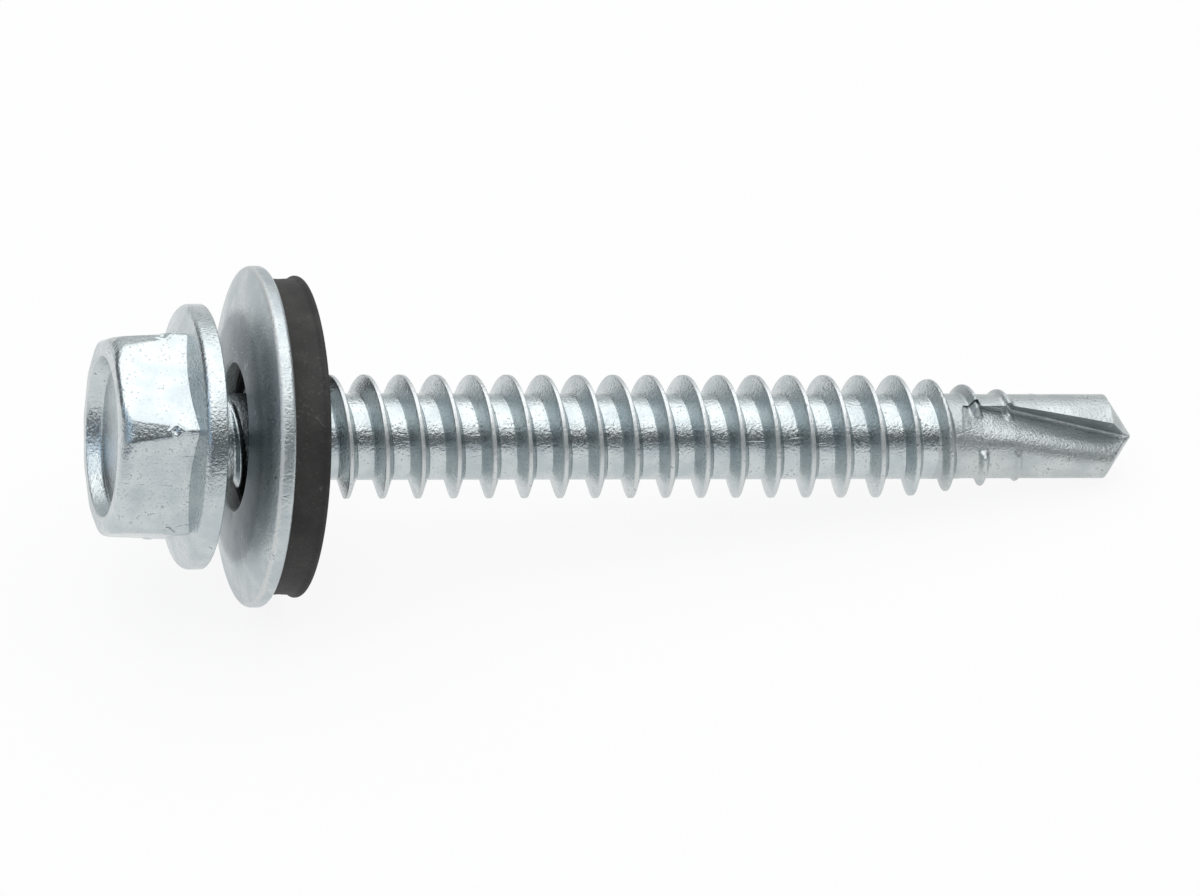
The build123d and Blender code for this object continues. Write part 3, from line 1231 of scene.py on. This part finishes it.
@dataclass
class BondedWasher:
    """Domed steel washer and the rubber seal bonded under it."""

    axes: ScrewAxes
    height: float = 1.60
    hole_radius: float = 3.64
    rim_radius: float = 8.37
    thickness: float = 0.75
    dome: float = 0.65
    seal_radius: float = 7.90
    seal_thickness: float = 1.92
    bore_radius: float = 3.14
    columns: int = 288

    def underside(self, radius: float) -> float:
        """Height of the steel washer's lower face at a radius."""
        slope = self.dome / (self.rim_radius - self.hole_radius)
        return self.height + self.dome + self.thickness - slope * (self.rim_radius - radius)

    def turned(
        self, name: str, outline: Outline, marks: np.ndarray, painted_shade_share: np.ndarray
    ) -> bpy.types.Object:
        """Turn an outline about the axis.

        Args:
            name: Name of the piece.
            outline: Its closed outline.
            marks: Edge mark of each point of the outline.
            painted_shade_share: How much painted shade each point of the outline gets.

        Returns:
            The finished object.
        """
        radii, heights = outline.arrays()
        angles = np.linspace(0.0, 2 * pi, self.columns, endpoint=False)
        marks = {"edge": marks[:, None], "stain": painted_shade_share[:, None]}
        shell = Shell(name, radii[:, None], angles, heights[:, None], marks, tube=True)
        return shell.build(self.axes)

    def plate(self) -> bpy.types.Object:
        """Make the steel washer with its rounded rim."""
        shares = np.linspace(0.0, 1.0, 12)
        reach = self.rim_radius - self.hole_radius
        domed = [
            (self.hole_radius + reach * share, self.height + self.dome * share**2.4)
            for share in shares
        ]
        outline = Outline.of_corners(
            [
                *domed,
                (self.rim_radius, self.height + self.dome + self.thickness),
                (self.hole_radius, self.underside(self.hole_radius)),
            ],
            [0.10, *[0.0] * 10, 0.30, 0.20, 0.05],
            0.16,
        )
        radii, heights = outline.arrays()
        rim = bell(radii - self.rim_radius + 0.10, 0.12)
        rim = rim * (heights < self.height + self.dome + 0.35)
        hole = bell(radii - self.hole_radius, 0.10)
        # Painted shade: the steel is painted darker towards the hole, where the flange above shades
        # it and is reflected in it.
        painted_shade_share = 1.0 - smooth_step(radii, 5.0, 7.4)
        return self.turned("washer_plate", outline, np.maximum(rim, hole), painted_shade_share)

    def seal(self) -> bpy.types.Object:
        """Make the rubber seal with the thin lip that its mould leaves at the far edge."""
        outer, lip = self.seal_radius - 0.12, self.seal_radius
        far = self.underside(outer) + self.seal_thickness
        corners = [
            (self.bore_radius, self.underside(self.bore_radius)),
            (outer, self.underside(outer)),
            (outer - 0.05, self.underside(outer) + 0.9),
            (outer - 0.02, far - 0.42),
            (lip, far - 0.22),
            (lip - 0.02, far - 0.05),
            (outer - 0.45, far - 0.02),
            (self.bore_radius, self.underside(self.bore_radius) + self.seal_thickness),
        ]
        outline = Outline.of_corners(corners, [0.03, 0.05, 0.5, 0.15, 0.08, 0.12, 0.3, 0.15], 0.16)
        radii, _ = outline.arrays()
        plain = np.zeros_like(radii)
        return self.turned("seal_ring", outline, plain, plain)


# ---------------------------------------------------------------- studio


@dataclass
class Studio:
    """Pale floor, soft lamps and the camera."""

    axes: ScrewAxes
    aim_along: float = 8.1
    distance: float = 486.2
    aim_right: float = 11.67
    aim_up: float = -0.56
    lens: float = 297.0

    def floor(self) -> None:
        """Lay the pale floor just below the object."""
        mesh = bpy.data.meshes.new("floor")
        half = 3.0
        corners = [(-half, -half), (half, -half), (half, half), (-half, half)]
        mesh.from_pydata([(x, y, -0.00001) for x, y in corners], [], [(0, 1, 2, 3)])
        sheet = bpy.data.objects.new("floor", mesh)
        bpy.context.scene.collection.objects.link(sheet)
        dress(sheet, PaleFloor().build())

    def lamp(
        self,
        name: str,
        side: Side,
        distance: float,
        size: tuple[float, float],
        radiance: float,
        colour: tuple[float, float, float] = (1.0, 1.0, 1.0),
    ) -> None:
        """Hang a rectangular soft lamp that faces the object.

        Args:
            name: Name of the lamp.
            side: The side that it hangs on.
            distance: Its distance from the object in metres.
            size: Its width and height in metres.
            radiance: Brightness of its face.
            colour: Its colour.
        """
        light = bpy.data.lights.new(name, "AREA")
        light.shape = "RECTANGLE"
        light.size, light.size_y = size
        light.energy = radiance * pi * size[0] * size[1]
        light.color = colour
        lamp = bpy.data.objects.new(name, light)
        away = direction_of(side)
        lamp.location = away * distance
        lamp.rotation_euler = away.to_track_quat("Z", "Y").to_euler()
        bpy.context.scene.collection.objects.link(lamp)

    def lights(self) -> None:
        """Hang the overhead softbox and the side cards, and set the grey room."""
        self.lamp("softbox", Side.OVERHEAD, 0.5, (0.86, 0.98), 1.65)
        self.lamp("head_card", Side.HEAD, 0.6, (0.40, 0.30), 1.00, (0.62, 0.80, 1.0))
        self.lamp("point_card", Side.POINT, 0.6, (0.36, 0.30), 0.55, (0.95, 0.98, 1.0))
        self.lamp("low_card", Side.LOW, 0.6, (0.90, 0.09), 0.45, (0.72, 0.86, 1.0))
        self.lamp("backdrop", Side.BACK, 0.9, (1.60, 0.56), 0.55, (0.96, 0.99, 1.0))
        world = bpy.data.worlds.new("grey_room")
        bpy.context.scene.world = world
        world.use_nodes = True
        back = world.node_tree.nodes["Background"]
        back.inputs["Color"].default_value = (0.95, 0.98, 1.0, 1.0)
        back.inputs["Strength"].default_value = 0.14

    def camera(self) -> None:
        """Place the camera, level and swung towards the head."""
        away = direction_of(Side.CAMERA)
        azimuth, _ = Side.CAMERA.value
        right = Vector((cos(radians(azimuth)), -sin(radians(azimuth)), 0.0))
        up = away.cross(right)
        aim = self.axes.start + self.axes.along * self.aim_along * MILLIMETRE
        aim = aim + (right * self.aim_right + up * self.aim_up) * MILLIMETRE
        data = bpy.data.cameras.new("camera")
        data.sensor_width = 36.0
        data.lens = self.lens
        data.clip_start = 0.01
        camera = bpy.data.objects.new("camera", data)
        camera.location = aim + away * self.distance * MILLIMETRE
        camera.rotation_euler = Matrix((right, up, away)).transposed().to_euler()
        bpy.context.scene.collection.objects.link(camera)
        bpy.context.scene.camera = camera

    def build(self) -> None:
        """Set up the floor, lamps and camera."""
        self.floor()
        self.lights()
        self.camera()
        bpy.context.scene.view_settings.view_transform = "Standard"


# ---------------------------------------------------------------- the model


def hand_over(piece: bpy.types.Object, body: str, slot: str, *nodes: str) -> None:
    """Tie a piece to its body and hide the nodes that it stands for.

    Args:
        piece: The piece.
        body: Name of the body that it rides on.
        slot: Name of its material slot. Not used.
        *nodes: The nodes that it replaces.
    """
    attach(piece, body)
    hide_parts(*nodes)
    piece.data.calc_loop_triangles()
    log.info("%s: %d triangles", piece.name, len(piece.data.loop_triangles))


def main() -> None:
    """Build the pieces in order."""
    logging.basicConfig(level=logging.INFO, format="%(name)s: %(message)s")
    for item in [item for item in bpy.data.objects if item.type in ("LIGHT", "CAMERA")]:
        bpy.data.objects.remove(item)
    axes, form, effects = ScrewAxes.of_frame(), ThreadForm(), SurfaceEffects.build()
    screw_steel = SCREW_STEEL.build(effects)
    washer = BondedWasher(axes)
    for build, finish, body, slot, node in (
        (ScrewHead(axes).build, screw_steel, "screw", "screw_steel", "screw"),
        (Thread(axes, form).build, screw_steel, "screw", "screw_steel", "screw"),
        (DrillPoint(axes, form).build, POINT_STEEL.build(effects), "screw", "screw_steel", "screw"),
        (washer.plate, WASHER_STEEL.build(effects), "washer", "washer_steel", "steel_washer"),
        (washer.seal, BLACK_RUBBER.build(effects), "washer", "seal_rubber", "seal"),
    ):
        piece = build()
        dress(piece, finish)
        hand_over(piece, body, slot, node)
    Studio(axes).build()


if __name__ == "__main__":
    main()
